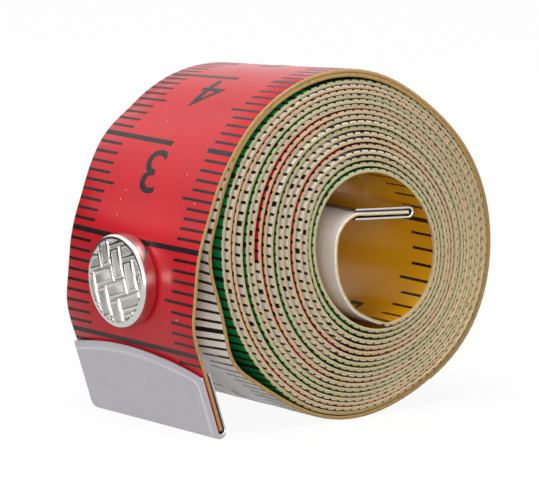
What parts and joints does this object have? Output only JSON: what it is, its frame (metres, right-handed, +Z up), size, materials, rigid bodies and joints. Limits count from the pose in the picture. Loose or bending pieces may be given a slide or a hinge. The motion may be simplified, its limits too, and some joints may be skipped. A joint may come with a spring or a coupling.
{
  "type": "cloth tape measure",
  "caption": "Flexible printed sewing tape measure, rolled up and standing on its rim, closed by a metal snap, with a folded metal clip on each end.",
  "frame": {"origin": "on the floor, in the middle of the flat on which the roll stands", "axes": "+Z up, +Y along the axis of the roll (across the tape's width), +X across the face of the roll away from the snap"},
  "size_m": [0.0389, 0.02, 0.0348],
  "materials": {
    "tape_roll": "coated woven tape, satin",
    "tape_red": "coated woven tape, red, satin",
    "tape_white": "coated woven tape, white, satin",
    "clip_steel": "satin plated sheet steel",
    "snap_plate": "bright nickel plate",
    "snap_wire": "drawn spring wire"
  },
  "bodies": {
    "roll": {"tape_coil": "tape_roll", "snap_stud": "snap_plate", "snap_stud_post": "snap_plate"},
    "upper_stretch": {"tape_upper_stretch": "tape_red"},
    "middle_stretch": {"tape_middle_stretch": "tape_red"},
    "free_end": {"tape_end_stretch": "tape_red", "zero_end_clip": "clip_steel", "snap_cap": "snap_plate", "snap_cap_post": "snap_plate", "snap_socket": "snap_plate", "snap_socket_spring": "snap_wire"},
    "inner_end": {"tape_inner_end": "tape_white", "inner_end_clip": "clip_steel"}
  },
  "joints": [
    {"name": "upper_bend", "type": "hinge", "parent": "roll", "child": "upper_stretch", "pos_m": [-0.00334, 0, 0.03472], "axis": [0, 1, 0], "range_deg": [0, 20], "deforming": ["snap_socket_spring"]},
    {"name": "middle_bend", "type": "hinge", "parent": "upper_stretch", "child": "middle_stretch", "pos_m": [-0.01206, 0, 0.03288], "axis": [0, 1, 0], "range_deg": [0, 30]},
    {"name": "end_bend", "type": "hinge", "parent": "middle_stretch", "child": "free_end", "pos_m": [-0.02036, 0, 0.02275], "axis": [0, 1, 0], "range_deg": [0, 55]},
    {"name": "inner_end_flex", "type": "hinge", "parent": "roll", "child": "inner_end", "pos_m": [0.00127, 0, 0.0087], "axis": [0, 1, 0], "range_deg": [-15, 3], "stiffness_Nm_per_rad": 0.003}
  ],
  "couplings": [
    {"joint": "middle_bend", "follows": "upper_bend", "ratio": 1.5},
    {"joint": "end_bend", "follows": "upper_bend", "ratio": 2.75}
  ]
}
